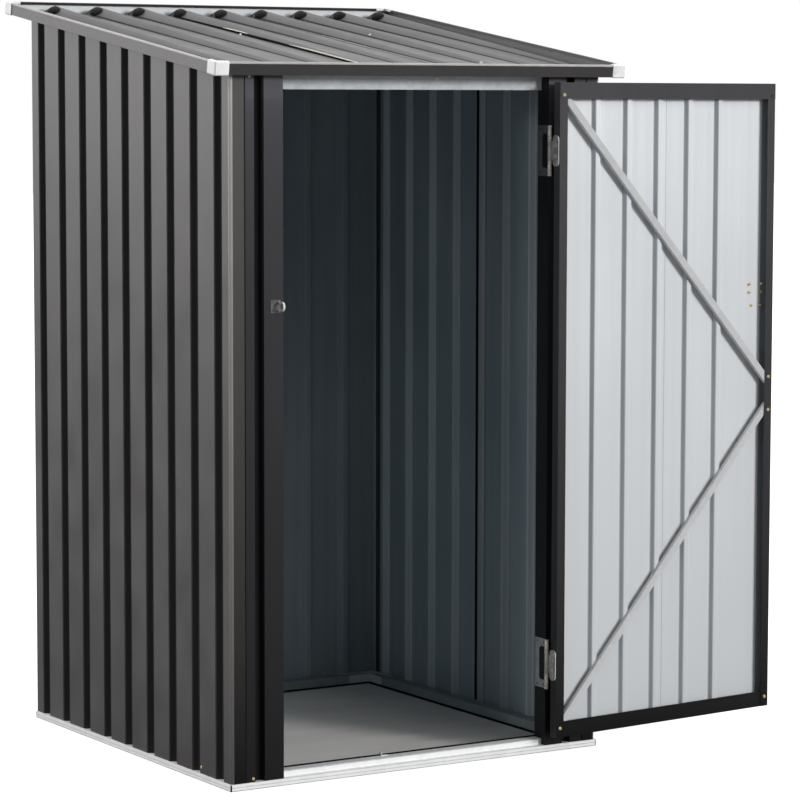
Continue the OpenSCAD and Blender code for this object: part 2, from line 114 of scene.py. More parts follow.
def on_back(x, z, y=wall_y):
    return Matrix.Translation((x, y, z)) @ Matrix.Rotation(-math.pi / 2, 4, "X")


def on_side(side, y, z, x=wall_x):
    return Matrix.Translation((side * x, y, z)) @ Matrix.Rotation(side * math.pi / 2, 4, "Y")


def on_roof(x, along, up):
    return (Matrix.Translation((0, roof_front, eave_height)) @ Matrix.Rotation(slope, 4, "X")
            @ Matrix.Translation((x, along, up)))


def door_frame():
    return Matrix.Translation((hinge.x, hinge.y, 0)) @ Matrix.Rotation(opened, 4, "Z")


def on_door(along, z, deep=door_inner):
    place = Matrix.Translation((-hinge_gap - along, deep, z))
    return door_frame() @ place @ Matrix.Rotation(-math.pi / 2, 4, "X")


def rib_at(index):
    return -roof_half + rib_margin + (index + 1) * rib_pitch


def rib_rise(along):
    """Height of a roof rib over its sheet, which falls towards the front."""
    return rib_front + (rib_height - rib_front) * along / roof_length


def rib_reach(along):
    """Half the width of a roof rib where it leaves its sheet."""
    return rib_width / 2 * (rib_rise(along) / rib_height) ** (1 / 1.6)


# Materials

class Finish:
    """A procedural material built from patterns in the object's own metres."""

    def __init__(self, name, roughness, metallic=0.0, specular=0.5):
        self.material = bpy.data.materials.new(name)
        self.material.use_nodes = True
        self.tree = self.material.node_tree
        self.shader = self.tree.nodes["Principled BSDF"]
        self.shader.inputs["Roughness"].default_value = roughness
        self.shader.inputs["Metallic"].default_value = metallic
        self.shader.inputs["Specular IOR Level"].default_value = specular
        self.place = self.add("ShaderNodeTexCoord").outputs["Object"]

    def add(self, kind):
        return self.tree.nodes.new(kind)

    def put(self, value, socket):
        if isinstance(value, bpy.types.NodeSocket):
            self.tree.links.new(value, socket)
        elif isinstance(value, tuple) and len(value) == 3 and socket.type == "RGBA":
            socket.default_value = (*value, 1.0)
        else:
            socket.default_value = value

    def stretched(self, x, y, z):
        mapping = self.add("ShaderNodeMapping")
        self.put(self.place, mapping.inputs["Vector"])
        mapping.inputs["Scale"].default_value = (x, y, z)
        return mapping.outputs["Vector"]

    def noise(self, scale, detail=4.0, vector=None):
        node = self.add("ShaderNodeTexNoise")
        self.put(vector or self.place, node.inputs["Vector"])
        node.inputs["Scale"].default_value = scale
        node.inputs["Detail"].default_value = detail
        return node.outputs["Fac"]

    def cells(self, scale):
        node = self.add("ShaderNodeTexVoronoi")
        self.put(self.place, node.inputs["Vector"])
        node.inputs["Scale"].default_value = scale
        split = self.add("ShaderNodeSeparateColor")
        self.put(node.outputs["Color"], split.inputs["Color"])
        return split.outputs["Red"]

    def axis(self, name):
        split = self.add("ShaderNodeSeparateXYZ")
        self.put(self.place, split.inputs["Vector"])
        return split.outputs[name]

    def ranged(self, value, low, high, to_low=0.0, to_high=1.0):
        node = self.add("ShaderNodeMapRange")
        self.put(value, node.inputs["Value"])
        node.inputs["From Min"].default_value = low
        node.inputs["From Max"].default_value = high
        node.inputs["To Min"].default_value = to_low
        node.inputs["To Max"].default_value = to_high
        return node.outputs["Result"]

    def maths(self, first, second, kind="ADD"):
        node = self.add("ShaderNodeMath")
        node.operation = kind
        self.put(first, node.inputs[0])
        self.put(second, node.inputs[1])
        return node.outputs["Value"]

    def mixed(self, factor, first, second):
        node = self.add("ShaderNodeMix")
        node.data_type = "RGBA"
        self.put(factor, node.inputs["Factor"])
        sockets = [socket for socket in node.inputs if socket.type == "RGBA"]
        self.put(first, sockets[0])
        self.put(second, sockets[1])
        return next(socket for socket in node.outputs if socket.type == "RGBA")

    def colour(self, value):
        self.put(value, self.shader.inputs["Base Color"])

    def rough(self, value):
        self.put(value, self.shader.inputs["Roughness"])

    def bump(self, height, distance, strength=1.0):
        node = self.add("ShaderNodeBump")
        node.inputs["Strength"].default_value = strength
        node.inputs["Distance"].default_value = distance
        self.put(height, node.inputs["Height"])
        self.put(node.outputs["Normal"], self.shader.inputs["Normal"])


def coated_paint(name, dark, light, rough_low, rough_high, specular=0.5, ground_shade=None, bend=1.0):
    """Coil-coated sheet: slow tone changes, faint rolling streaks and an orange-peel surface.

    The share given for the ground is the part of the tone left there, as painted shade that darkens the sheet
    towards the ground; a bend under 1 lets it fall off sooner below the eaves.
    """
    ground_shade_top = 1.55
    finish = Finish(name, rough_low, 0.0, specular)
    slow = finish.ranged(finish.noise(2.2), 0.35, 0.65)
    streaks = finish.ranged(finish.noise(1.0, 5.0, finish.stretched(46, 46, 1.1)), 0.36, 0.66)
    tone = finish.mixed(slow, dark, light)
    worn = tuple(0.86 * c for c in dark)
    tone = finish.mixed(finish.ranged(streaks, 0, 1, 0.0, 0.35), tone, worn)
    # Painted shade: the tone darkens towards the ground.
    if ground_shade is not None:
        low = tuple(ground_shade * c for c in dark)
        fall = finish.ranged(finish.axis("Z"), 0.0, ground_shade_top, 1.0, 0.0)
        tone = finish.mixed(finish.maths(fall, bend, "POWER"), tone, low)
    finish.colour(tone)
    finish.rough(finish.ranged(finish.noise(9.0), 0.3, 0.7, rough_low, rough_high))
    finish.bump(finish.noise(650.0, 2.0), 0.03 * mm, 0.5)
    return finish.material


def galvanised(name, dark, light, cell, metallic, rough_low, rough_high):
    """Zinc-coated steel with soft spangles and rolling lines."""
    finish = Finish(name, rough_low, metallic)
    spangle = finish.cells(1 / cell)
    cloud = finish.ranged(finish.noise(14.0), 0.3, 0.7)
    share = finish.maths(finish.maths(spangle, 0.45, "MULTIPLY"), finish.maths(cloud, 0.55, "MULTIPLY"))
    finish.colour(finish.mixed(share, dark, light))
    finish.rough(finish.ranged(spangle, 0, 1, rough_low, rough_high))
    finish.bump(finish.noise(320.0, 3.0), 0.02 * mm, 0.4)
    return finish.material


def moulded(name, dark, light, rough_low, rough_high, grain, specular=0.5):
    """Moulded plastic with a fine grain."""
    finish = Finish(name, rough_low, 0.0, specular)
    finish.colour(finish.mixed(finish.ranged(finish.noise(30.0), 0.3, 0.7), dark, light))
    finish.rough(finish.ranged(finish.noise(70.0), 0.3, 0.7, rough_low, rough_high))
    finish.bump(finish.noise(grain, 2.0), 0.04 * mm, 0.5)
    return finish.material


def plated(name, dark, light, metallic, rough_low, rough_high):
    """Plated steel with small handling marks."""
    finish = Finish(name, rough_low, metallic)
    marks = finish.ranged(finish.noise(90.0, 6.0), 0.35, 0.65)
    finish.colour(finish.mixed(marks, dark, light))
    finish.rough(finish.ranged(finish.noise(160.0, 3.0), 0.3, 0.7, rough_low, rough_high))
    finish.bump(finish.noise(900.0, 2.0), 0.02 * mm, 0.4)
    return finish.material


def floor_board(name):
    """Smooth grey floor with long streaks from side to side."""
    finish = Finish(name, 0.5)
    streak = finish.ranged(finish.noise(1.0, 5.0, finish.stretched(2.4, 20, 1)), 0.33, 0.67)
    cloud = finish.ranged(finish.noise(5.0), 0.3, 0.7)
    tone = finish.mixed(streak, (0.79, 0.76, 0.73), (0.89, 0.86, 0.83))
    finish.colour(finish.mixed(finish.ranged(cloud, 0, 1, 0, 0.4), tone, (0.71, 0.68, 0.655)))
    finish.rough(finish.ranged(streak, 0, 1, 0.42, 0.58))
    finish.bump(finish.noise(180.0, 4.0), 0.05 * mm, 0.4)
    return finish.material


anthracite = coated_paint("anthracite_paint", (0.033, 0.031, 0.0315), (0.042, 0.039, 0.039), 0.30, 0.40, 0.9)
roof_grey = coated_paint("roof_paint", (0.055, 0.053, 0.0555), (0.068, 0.066, 0.069), 0.34, 0.44, 0.7)
# Front panel and jamb paint: a lighter copy of the wall paint as painted sheen, darker towards the ground as
# painted shade.
jamb_painted_light = coated_paint("jamb_painted_light", (0.086, 0.086, 0.096), (0.098, 0.097, 0.108), 0.34, 0.44,
                          ground_shade=0.10, bend=0.33)
# Lighter copy of the wall paint for the front faces of the corner sheets: painted sheen, falling to painted
# shade at the ground.
wrap_painted_light = coated_paint("corner_painted_light", (0.090, 0.086, 0.082), (0.104, 0.099, 0.094), 0.34, 0.44, ground_shade=0.03)
# Pale paint on the corner folds: a painted highlight that fades towards the ground.
fold_painted_highlight = coated_paint("painted_fold_highlight", (0.46, 0.45, 0.44), (0.56, 0.55, 0.53), 0.30, 0.40, 0.7, 0.16, 0.6)
# Near-black for the recess beside each jamb and for the jambs' reveals: painted shade.
recess_painted_shade = coated_paint("recess_painted_shade", (0.006, 0.006, 0.007), (0.009, 0.009, 0.010), 0.45, 0.55, 0.3)
# Door frame paint, darker towards the ground as painted shade.
frame_dark = coated_paint("door_frame_paint", (0.056, 0.055, 0.059), (0.068, 0.066, 0.070), 0.40, 0.50,
                          ground_shade=0.05, bend=1.3)
inner_coat = coated_paint("inner_coat", (0.25, 0.305, 0.34), (0.31, 0.365, 0.40), 0.5, 0.6)
# Pale back coat, darker towards the ground as painted shade.
pale_coat = coated_paint("pale_back_coat", (0.72, 0.745, 0.765), (0.79, 0.815, 0.83), 0.42, 0.52,
                         ground_shade=0.72, bend=0.7)
# Darker copy of the pale coat for the hinge-side flanks of the door ribs: painted shade.
flank_painted_shade = coated_paint("pale_rib_flank_painted_shade", (0.36, 0.39, 0.42), (0.42, 0.45, 0.48), 0.42, 0.52)
# Darker copy of the wall paint for the groove flanks that look to the front: painted shade.
groove_painted_shade = coated_paint("groove_painted_shade", (0.021, 0.020, 0.021), (0.027, 0.026, 0.027), 0.42, 0.52, 0.3)
# Lighter copy of the inner coat for the inner rib flanks that look to the front: painted light.
inner_flank_painted_light = coated_paint("inner_rib_flank_painted_light", (0.42, 0.48, 0.51), (0.48, 0.54, 0.57), 0.5, 0.6)
# Darker copy of the roof paint for the left flanks of the roof ribs: painted shade.
roof_flank_painted_shade = coated_paint("roof_rib_flank_painted_shade", (0.034, 0.032, 0.034), (0.042, 0.040, 0.042), 0.34, 0.44, 0.7)
edging_inner = coated_paint("edging_inner", (0.125, 0.122, 0.125), (0.15, 0.147, 0.15), 0.36, 0.46)
# Pale paint for the beads along the front and left trims: a painted highlight.
bead_painted_highlight = coated_paint("bead_painted_highlight", (0.42, 0.41, 0.40), (0.52, 0.51, 0.49), 0.36, 0.46)
base_zinc = galvanised("base_zinc", (0.82, 0.83, 0.83), (0.92, 0.92, 0.92), 14 * mm, 0.05, 0.36, 0.48)
# Darker copy of the rail zinc for the faces inside the shed: painted shade.
rail_painted_shade = galvanised("rail_painted_shade", (0.24, 0.28, 0.29), (0.33, 0.36, 0.37), 14 * mm, 0.2, 0.36, 0.48)
# Darker zinc for the fine lines along the rails: painted shade.
rail_shade_line = galvanised("rail_shade_line", (0.50, 0.51, 0.52), (0.60, 0.60, 0.61), 14 * mm, 0.1, 0.36, 0.48)
frame_zinc = galvanised("frame_zinc", (0.52, 0.55, 0.57), (0.70, 0.73, 0.74), 11 * mm, 0.15, 0.34, 0.46)
brace_zinc = galvanised("brace_zinc", (0.51, 0.515, 0.53), (0.59, 0.595, 0.61), 9 * mm, 0.10, 0.42, 0.52)
white_plastic = moulded("cap_plastic", (0.84, 0.84, 0.85), (0.91, 0.91, 0.92), 0.34, 0.44, 500.0)
black_plastic = moulded("plug_plastic", (0.008, 0.008, 0.009), (0.014, 0.014, 0.015), 0.6, 0.75, 300.0, 0.2)
# Near-black for open joints and laps, also used for the painted shadow strips along the edges of the
# threshold and floor.
joint_and_shadow_dark = moulded("dark_joint_and_painted_shadow", (0.006, 0.006, 0.007), (0.011, 0.011, 0.012), 0.85, 0.95, 400.0, 0.05)
crease_dark = moulded("crease_shadow", (0.020, 0.019, 0.020), (0.030, 0.029, 0.030), 0.7, 0.85, 400.0, 0.3)
hardware = plated("zinc_plate", (0.44, 0.42, 0.39), (0.60, 0.575, 0.53), 0.45, 0.28, 0.42)
brass = plated("yellow_plate", (0.76, 0.54, 0.26), (0.95, 0.78, 0.48), 0.4, 0.20, 0.34)
blue_zinc = plated("blue_zinc", (0.05, 0.08, 0.11), (0.11, 0.15, 0.20), 0.5, 0.22, 0.34)
barrel_plate = plated("barrel_plate", (0.62, 0.57, 0.49), (0.82, 0.77, 0.68), 0.35, 0.22, 0.34)
leaf_plate = plated("leaf_plate", (0.34, 0.345, 0.35), (0.46, 0.46, 0.46), 0.3, 0.26, 0.40)
shade_plate = plated("shade_plate", (0.115, 0.116, 0.118), (0.17, 0.17, 0.17), 0.3, 0.30, 0.45)
# Bright plating for the staple loop and the eye, also used as painted glints and highlights on the hinge
# rings and rims.
bright_plate_and_glint = plated("bright_plate_and_glint", (0.86, 0.84, 0.79), (0.96, 0.95, 0.91), 0.25, 0.12, 0.24)
cut_edge = coated_paint("cut_edge", (0.62, 0.58, 0.50), (0.74, 0.70, 0.62), 0.4, 0.5)
floor_grey = floor_board("floor_board")


# CAD nodes: finish by face, and softened folds

def dress(name, outer, inner=None, inward=None):
    """Gives a node its finish; faces that look along inward take the inner finish."""
    item = nodes[name]
    item.data.materials.clear()
    item.data.materials.append(outer)
    if inner is None:
        for face in item.data.polygons:
            face.material_index = 0
        return
    item.data.materials.append(inner)
    for face in item.data.polygons:
        face.material_index = 1 if inward(face) else 0


def also(name, finish, chosen):
    """Gives some faces of a dressed node one more finish."""
    item = nodes[name]
    item.data.materials.append(finish)
    for face in item.data.polygons:
        if chosen(face):
            face.material_index = len(item.data.materials) - 1


def looks(direction, least=facing):
    """Test for the faces that look along a direction."""
    way = Vector(direction).normalized()
    return lambda face: face.normal.dot(way) > least


shut_door = door_frame().inverted()
inside_door = door_frame().to_3x3() @ Vector((0, 1, 0))
toward_hinge = inside_door.cross(Vector((0, 0, 1)))
roof_up = Vector((0, -math.sin(slope), math.cos(slope)))


def recessed(face):
    """True for the outer faces of a front panel that lie back beside the jamb, which take painted shade."""
    return face.material_index == 0 and face.normal.y < squarely and face.center.y > recess_depth - wall_y


def deep_in_door(face):
    """True for the faces of a stile that lie on the door sheet and look into the shed."""
    depth = (shut_door @ face.center).y
    return depth < stile_depth and face.normal.dot(inside_door) > squarely


def inside_wall(way):
    """Test for the inner faces of a side wall's sheet, with the part that is folded round the corner."""
    def test(face):
        in_wrap = face.center.y < wrap_depth - wall_y and face.normal.y > steep_flank_tilt
        return face.normal.x * way > facing or in_wrap
    return test


def folded(face):
    """True for the outer faces of a side wall's sheet where it turns round the corner to the front."""
    return face.material_index == 0 and face.normal.y < -0.1 and face.center.y < wrap_depth - wall_y


def groove_flank(way):
    """Test for the groove flanks of a side wall that look to the front, beyond the corner."""
    def test(face):
        outside = face.normal.x * way < -0.05 and face.center.y > corner_clear - wall_y
        return outside and face.normal.y < -flank_tilt
    return test


def inner_flank(face):
    """True for the flanks of the right wall's inner ribs that look to the front, beyond the fold."""
    return inside_wall(-1)(face) and face.normal.y < -flank_tilt and face.center.y > fold_clear - wall_y


def roof_left_flank(face):
    """True for the flanks of the roof ribs that look to the left."""
    return face.normal.x < -0.2 and face.normal.dot(roof_up) > steep_flank_tilt


def door_hinge_flank(face):
    """True for the flanks of the door's inner ribs that look to the hinges."""
    return face.normal.dot(inside_door) > facing and face.normal.dot(toward_hinge) > steep_flank_tilt


def dress_rail(name, inward):
    """Paints shade on the faces of a base rail that are inside the shed."""
    dress(name, base_zinc, rail_painted_shade,
          lambda face: face.normal.dot(Vector(inward)) > squarely
          or face.center.z > rail_lip + 4 * mm and face.normal.z > squarely)


def dress_hinge(name, plate, barrel):
    """Gives a hinge leaf its plate finish and the knuckles round the axis a finish of their own."""
    near = 5.4 * mm
    dress(name, plate, barrel, lambda face: (face.center.xy - hinge.xy).length < near)


for side, way in (("left", 1), ("right", -1)):
    for part in ("front", "back"):
        dress(f"{side}_wall_{part}_sheet", anthracite, inner_coat, inside_wall(way))
    # The front faces of the corner sheets take painted sheen and shade.
    also(f"{side}_wall_front_sheet", wrap_painted_light, lambda face: folded(face) and face.normal.y < flat_front)
    # The folds take a painted highlight.
    also(f"{side}_wall_front_sheet", fold_painted_highlight, folded)
    # The groove flanks that look to the front take painted shade.
    for part in ("front", "back"):
        also(f"{side}_wall_{part}_sheet", groove_painted_shade, groove_flank(way))
    dress(f"front_{side}_panel", jamb_painted_light, inner_coat, looks((0, 1, 0)))
    # The recess beside the jamb and the reveal of the jamb are painted black as shade.
    also(f"front_{side}_panel", recess_painted_shade, recessed)
    dress(f"{side}_door_jamb", jamb_painted_light, recess_painted_shade, looks((way, 0, 0), squarely))
    dress_rail(f"base_rail_{side}", (way, 0, 0))
    dress(f"top_rail_{side}", frame_zinc)
# The right wall's inner rib flanks that look to the front take painted light.
for part in ("front", "back"):
    also(f"right_wall_{part}_sheet", inner_flank_painted_light, inner_flank)
for part in ("left", "middle", "right"):
    dress(f"back_wall_{part}_sheet", anthracite, inner_coat, looks((0, -1, 0)))
    dress(f"roof_sheet_{part}", roof_grey, inner_coat, looks(-roof_up))
    # The left flanks of the roof ribs take painted shade.
    also(f"roof_sheet_{part}", roof_flank_painted_shade, roof_left_flank)
dress("base_rail_front", base_zinc)
dress_rail("base_rail_back", (0, -1, 0))
dress("roof_trim_front", anthracite, pale_coat, looks((0, 1, 0), squarely))
dress("roof_trim_back", anthracite, pale_coat, looks((0, -1, 0), squarely))
dress("roof_trim_left", anthracite, pale_coat, looks((1, 0, 0), squarely))
dress("roof_trim_right", anthracite, edging_inner, looks((-1, 0, 0), squarely))
dress("roof_corner_caps", white_plastic)
dress("roof_rib_plugs", black_plastic)
dress("door_header", frame_zinc)
dress("top_rail_back", frame_zinc)
dress("roof_beam", frame_zinc)
dress("floor_panel", floor_grey)
dress("lock_staple", shade_plate, bright_plate_and_glint, lambda face: face.center.y < -wall_y - 2 * mm)
dress("door_latch", hardware)
dress_hinge("upper_hinge_jamb_leaf", shade_plate, barrel_plate)
dress_hinge("lower_hinge_jamb_leaf", leaf_plate, barrel_plate)
for level in ("upper", "lower"):
    dress_hinge(f"{level}_hinge_door_leaf", leaf_plate, hardware)
    dress(f"door_brace_{level}", brace_zinc)
for part in ("hinge", "latch"):
    dress(f"door_sheet_{part}_side", anthracite, pale_coat, looks(inside_door))
    # The hinge-side rib flanks take painted shade.
    also(f"door_sheet_{part}_side", flank_painted_shade, door_hinge_flank)
    # Stile faces that lie on the door sheet take the darker inner coat as painted shade.
    dress(f"door_stile_{part}", frame_dark, inner_coat, deep_in_door)
for part in ("top", "bottom"):
    dress(f"door_rail_{part}", frame_dark)


def soften(name, width):
    """Rounds a node's folds a little, so that they catch the light."""
    item = nodes[name]
    weld = item.modifiers.new("weld", "WELD")
    weld.merge_threshold = 0.01 * mm
    bevel = item.modifiers.new("fold", "BEVEL")
    bevel.width = width
    bevel.segments = 2
    bevel.limit_method = "ANGLE"
    bevel.angle_limit = math.radians(50)
    bevel.use_clamp_overlap = True
    bevel.harden_normals = False


for name in nodes:
    if name.startswith(("base_rail", "roof_trim", "door_stile", "door_rail", "door_brace")):
        soften(name, 0.4 * mm)
    elif name in ("roof_corner_caps", "roof_rib_plugs"):
        soften(name, 0.9 * mm)
    elif "hinge_" in name and "leaf" in name or name in ("lock_staple", "door_latch"):
        soften(name, 0.4 * mm)


# Small pieces

def turned(profile, steps=20):
    """Mesh turned round Z from (radius, height) points that start and end on the axis."""
    shape = bmesh.new()
    rings = []
    for radius, height in profile:
        if radius == 0:
            rings.append([shape.verts.new((0, 0, height))])
            continue
        ring = []
        for step in range(steps):
            angle = 2 * math.pi * step / steps
            ring.append(shape.verts.new((radius * math.cos(angle), radius * math.sin(angle), height)))
        rings.append(ring)
    for low, high in zip(rings, rings[1:]):
        for step in range(steps):
            corners = [low[step % len(low)], low[(step + 1) % len(low)],
                       high[(step + 1) % len(high)], high[step % len(high)]]
            unique = list(dict.fromkeys(corners))
            if len(unique) > 2:
                shape.faces.new(unique)
    bmesh.ops.recalc_face_normals(shape, faces=shape.faces)
    return shape


def add_solid(shape, rows):
    """Adds a closed solid to a mesh, drawn through rows of points that are its sections in turn."""
    rings = [[shape.verts.new(point) for point in row] for row in rows]
    for low, high in zip(rings, rings[1:]):
        for step in range(len(low)):
            after = (step + 1) % len(low)
            shape.faces.new((low[step], low[after], high[after], high[step]))
    shape.faces.new(rings[0][::-1])
    shape.faces.new(rings[-1])
    bmesh.ops.recalc_face_normals(shape, faces=shape.faces)


def cross_prism(reach, half, low, high):
    """Upright prism with the outline of a cross drive."""
    outline = ((reach, -half), (reach, half), (half, half), (half, reach),
               (-half, reach), (-half, half), (-reach, half), (-reach, -half),
               (-half, -half), (-half, -reach), (half, -reach), (half, -half))
    shape = bmesh.new()
    add_solid(shape, [[(x, y, z) for x, y in outline] for z in (low, high)])
    return shape


def cut_by(shape, cutter):
    """Mesh of one shape with another cut out of it, worked in millimetres so that small edges hold."""
    items = []
    for name, source in (("cut_body", shape), ("cut_tool", cutter)):
        mesh = bpy.data.meshes.new(name)
        source.to_mesh(mesh)
        source.free()
        mesh.transform(Matrix.Scale(1 / mm, 4))
        items.append(bpy.data.objects.new(name, mesh))
        bpy.context.collection.objects.link(items[-1])
    body, tool = items
    rule = body.modifiers.new("cut", "BOOLEAN")
    rule.operation = "DIFFERENCE"
    rule.solver = "EXACT"
    rule.object = tool
    bpy.context.view_layer.update()
    done = bpy.data.meshes.new_from_object(body.evaluated_get(bpy.context.evaluated_depsgraph_get()))
    done.transform(Matrix.Scale(mm, 4))
    for item in items:
        mesh = item.data
        bpy.data.objects.remove(item)
        bpy.data.meshes.remove(mesh)
    return done


def screw(radius, height, washer=0.0):
    """Pan-head screw with a cross drive, on an optional dished washer."""
    rise = 0.0
    sunk = -1.0 * mm
    profile = [(0, sunk)]
    if washer:
        rise = 1.1 * mm
        profile += [(washer, sunk), (washer, 0.3 * mm), (washer - 0.6 * mm, 0.8 * mm)]
    else:
        profile += [(radius, sunk)]
    profile += [(radius, rise), (radius, rise + 0.35 * height), (0.92 * radius, rise + 0.66 * height),
                (0.70 * radius, rise + 0.9 * height), (0.45 * radius, rise + height), (0, rise + height)]
    cross = cross_prism(0.55 * radius, 0.13 * radius, rise + 0.4 * height, rise + 1.2 * height)
    return cut_by(turned(profile), cross)


def countersunk(radius):
    """Flat screw head sunk level with its plate."""
    rim = 0.25 * mm
    head = turned([(0, -0.8 * mm), (radius, -0.8 * mm), (radius, 0.5 * rim), (0.93 * radius, rim),
                   (0.6 * radius, 0.4 * rim), (0, 0.2 * rim)])
    return cut_by(head, cross_prism(0.5 * radius, 0.12 * radius, -rim, 2 * rim))


def tip(radius, length):
    """Threaded end of a screw that comes through a sheet."""
    sunk = -0.6 * mm
    collar = 0.9 * mm
    turns = 5
    profile = [(0, sunk), (2.1 * radius, sunk), (2.1 * radius, 0.5 * mm), (1.2 * radius, collar)]
    for turn in range(turns):
        share = turn / turns
        wide = radius * (1 - 0.55 * share)
        at = collar + length * share
        profile += [(wide, at), (0.72 * wide, at + 0.5 * length / turns)]
    profile.append((0, collar + length))
    mesh = bpy.data.meshes.new("tip")
    turned(profile, 14).to_mesh(mesh)
    return mesh


def gather(name, template, places, material, body):
    """One piece made of a template repeated at each place."""
    shape = bmesh.new()
    for place in places:
        start = len(shape.verts)
        shape.from_mesh(template)
        shape.verts.ensure_lookup_table()
        bmesh.ops.transform(shape, matrix=place, verts=shape.verts[start:])
    piece(name, shape, material, body)


def piece(name, shape, material, body):
    """Makes a mesh into a visible piece that rides on a body and has a material slot."""
    sharp_angle = math.radians(38)
    mesh = bpy.data.meshes.new(name)
    shape.to_mesh(mesh)
    shape.free()
    for face in mesh.polygons:
        face.use_smooth = True
    mesh.set_sharp_from_angle(angle=sharp_angle)
    mesh.materials.clear()
    mesh.materials.append(material)
    for face in mesh.polygons:
        face.material_index = 0
    item = bpy.data.objects.new(name, mesh)
    bpy.context.collection.objects.link(item)
    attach(item, body)


def strip(outline, lengths, place):
    """Mesh of a small section (X and Z points) drawn along Y between two lengths."""
    shape = bmesh.new()
    add_solid(shape, [[place @ Vector((x, y, z)) for x, z in outline] for y in lengths])
    return shape


def run_along(name, across, ends, steps, place, material):
    """Strip on the roof whose section may change along it; across gives X and Z points for a length."""
    shape = bmesh.new()
    rows = []
    for step in range(steps + 1):
        along = ends[0] + (ends[1] - ends[0]) * step / steps
        rows.append([place @ Vector((x, along, z)) for x, z in across(along)])
    add_solid(shape, rows)
    piece(name, shape, material, "shed")


# Painted shadow lines in the creases at the feet of the roof ribs, and the open seam
middle_ribs = (3, 4)
open_rib = 3
lap_over = 2 * sheet + 0.2 * mm
crease_start = 150 * mm
crease_end = roof_length - 62 * mm
gap_start = 60 * mm


def plate_top(index):
    """Upper face of the roof sheet beside a rib."""
    return roof_metal + (sheet if index in middle_ribs else 2 * sheet)


def rib_foot(index, along):
    """Left foot of a rib, measured from its crest."""
    return -rib_reach(along) - (sheet if index in middle_ribs else lap_over)


def foot_line(index):
    """Section of the dark line in the crease at the left foot of a rib, thinner towards the front."""
    def across(along):
        foot = rib_foot(index, along)
        thick = (0.6 + 2.6 * along / roof_length) * mm
        base = plate_top(index) - 0.2 * mm
        return ((foot - thick, base), (foot + 1.2 * mm, base), (foot + 0.6 * mm, base + 1.3 * thick),
                (foot - 0.5 * thick, base + 0.6 * thick))
    return across


for index in range(rib_count):
    if index == open_rib:
        continue
    run_along(f"roof_crease_{index}", foot_line(index), (crease_start, crease_end), 10,
              on_roof(rib_at(index), 0, 0), crease_dark)

# A few roof screws
roof_screw_spots = ((0.2670, 0.700, 6.6 * mm), (0.2750, 0.200, 5.4 * mm), (-0.0985, 0.705, 2.2 * mm))
gather("roof_screws", screw(2.7 * mm, 2.2 * mm, 4.0 * mm), [on_roof(*spot) for spot in roof_screw_spots],
       barrel_plate, "shed")


def gap_height(along):
    """Height of the open seam, widest past the middle of the roof."""
    return (3.2 + 2.4 * max(0, 1 - abs(along / roof_length - 0.55) / 0.5)) * mm


def seam_gap(along):
    """Section of the dark open lap at the foot of the open rib."""
    foot = rib_foot(open_rib, along)
    base = plate_top(open_rib) - 0.2 * mm
    high = gap_height(along)
    return ((foot - 2.6 * mm, base), (foot + 2.0 * mm, base), (foot + 1.6 * mm, base + high),
            (foot - 1.4 * mm, base + 0.9 * high))


def seam_edge(first, last, height):
    """Section of the pale cut edge that lifts over the open lap between two lengths."""
    def across(along):
        lift = height * math.sin(math.pi * min(1, max(0, (along - first) / (last - first)))) ** 0.6
        foot = rib_foot(open_rib, along) + 0.4 * mm
        low = plate_top(open_rib) + gap_height(along) - 0.6 * mm
        return ((foot, low), (foot + 2.2 * mm, low), (foot + 2.6 * mm, low + lift + 0.5 * mm),
                (foot + 1.0 * mm, low + lift + 0.5 * mm))
    return across


seam_place = on_roof(rib_at(open_rib), 0, 0)
run_along("roof_seam_gap", seam_gap, (gap_start, crease_end), 14, seam_place, joint_and_shadow_dark)
for name, first, last, height in (("middle", 0.69, 0.81, 1.9 * mm), ("front", 0.14, 0.49, 2.4 * mm)):
    run_along(f"roof_seam_edge_{name}", seam_edge(first, last, height), (first, last), 24, seam_place,
              cut_edge)

# Pale cut edge of the right roof sheet beside the second seam
second_seam_rib = 5
lip_section = ((1.6 * mm, 0), (-0.5 * mm, 0), (-0.9 * mm, 0.9 * mm), (-0.7 * mm, 1.6 * mm),
               (0.2 * mm, 1.0 * mm))
lip_place = on_roof(rib_at(second_seam_rib) - rib_width / 2 - 6 * mm, 0, roof_metal + 2 * sheet)
lip = strip(lip_section, (470 * mm, 700 * mm), lip_place)
piece("roof_seam_lip", lip, cut_edge, "shed")

# Rolled bead or hem along the top of the roof edging, between the corner caps; the beads on the front and
# left are painted pale as a highlight, the hems on the back and right keep the wall paint
bead_section = ((-0.5 * mm, -3.4 * mm), (0.3 * mm, -3.7 * mm), (6.4 * mm, -0.6 * mm), (6.6 * mm, 0.3 * mm),
                (5.4 * mm, 0.8 * mm), (0.6 * mm, 0.8 * mm), (-0.4 * mm, 0.3 * mm), (-0.7 * mm, -0.6 * mm))
hem_section = ((-0.5 * mm, -5.2 * mm), (0.3 * mm, -5.5 * mm), (6.2 * mm, -5.0 * mm), (6.6 * mm, 0.3 * mm),
               (5.4 * mm, 0.8 * mm), (0.6 * mm, 0.8 * mm), (-0.4 * mm, 0.3 * mm), (-0.7 * mm, -0.6 * mm))
cap_reach = 34.5 * mm
bead_runs = (("front", (0, 0), roof_half, bead_section, bead_painted_highlight),
             ("back", (0, roof_length), roof_half, hem_section, anthracite),
             ("left", (-roof_half, roof_length / 2), roof_length / 2, bead_section, bead_painted_highlight),
             ("right", (roof_half, roof_length / 2), roof_length / 2, hem_section, anthracite))
for name, (x, y), half, section, coat in bead_runs:
    place = on_roof(x, y, trim_height) @ side_turns[name]
    bead = strip(section, (cap_reach - half, half - cap_reach), place)
    piece(f"roof_trim_bead_{name}", bead, coat, "shed")

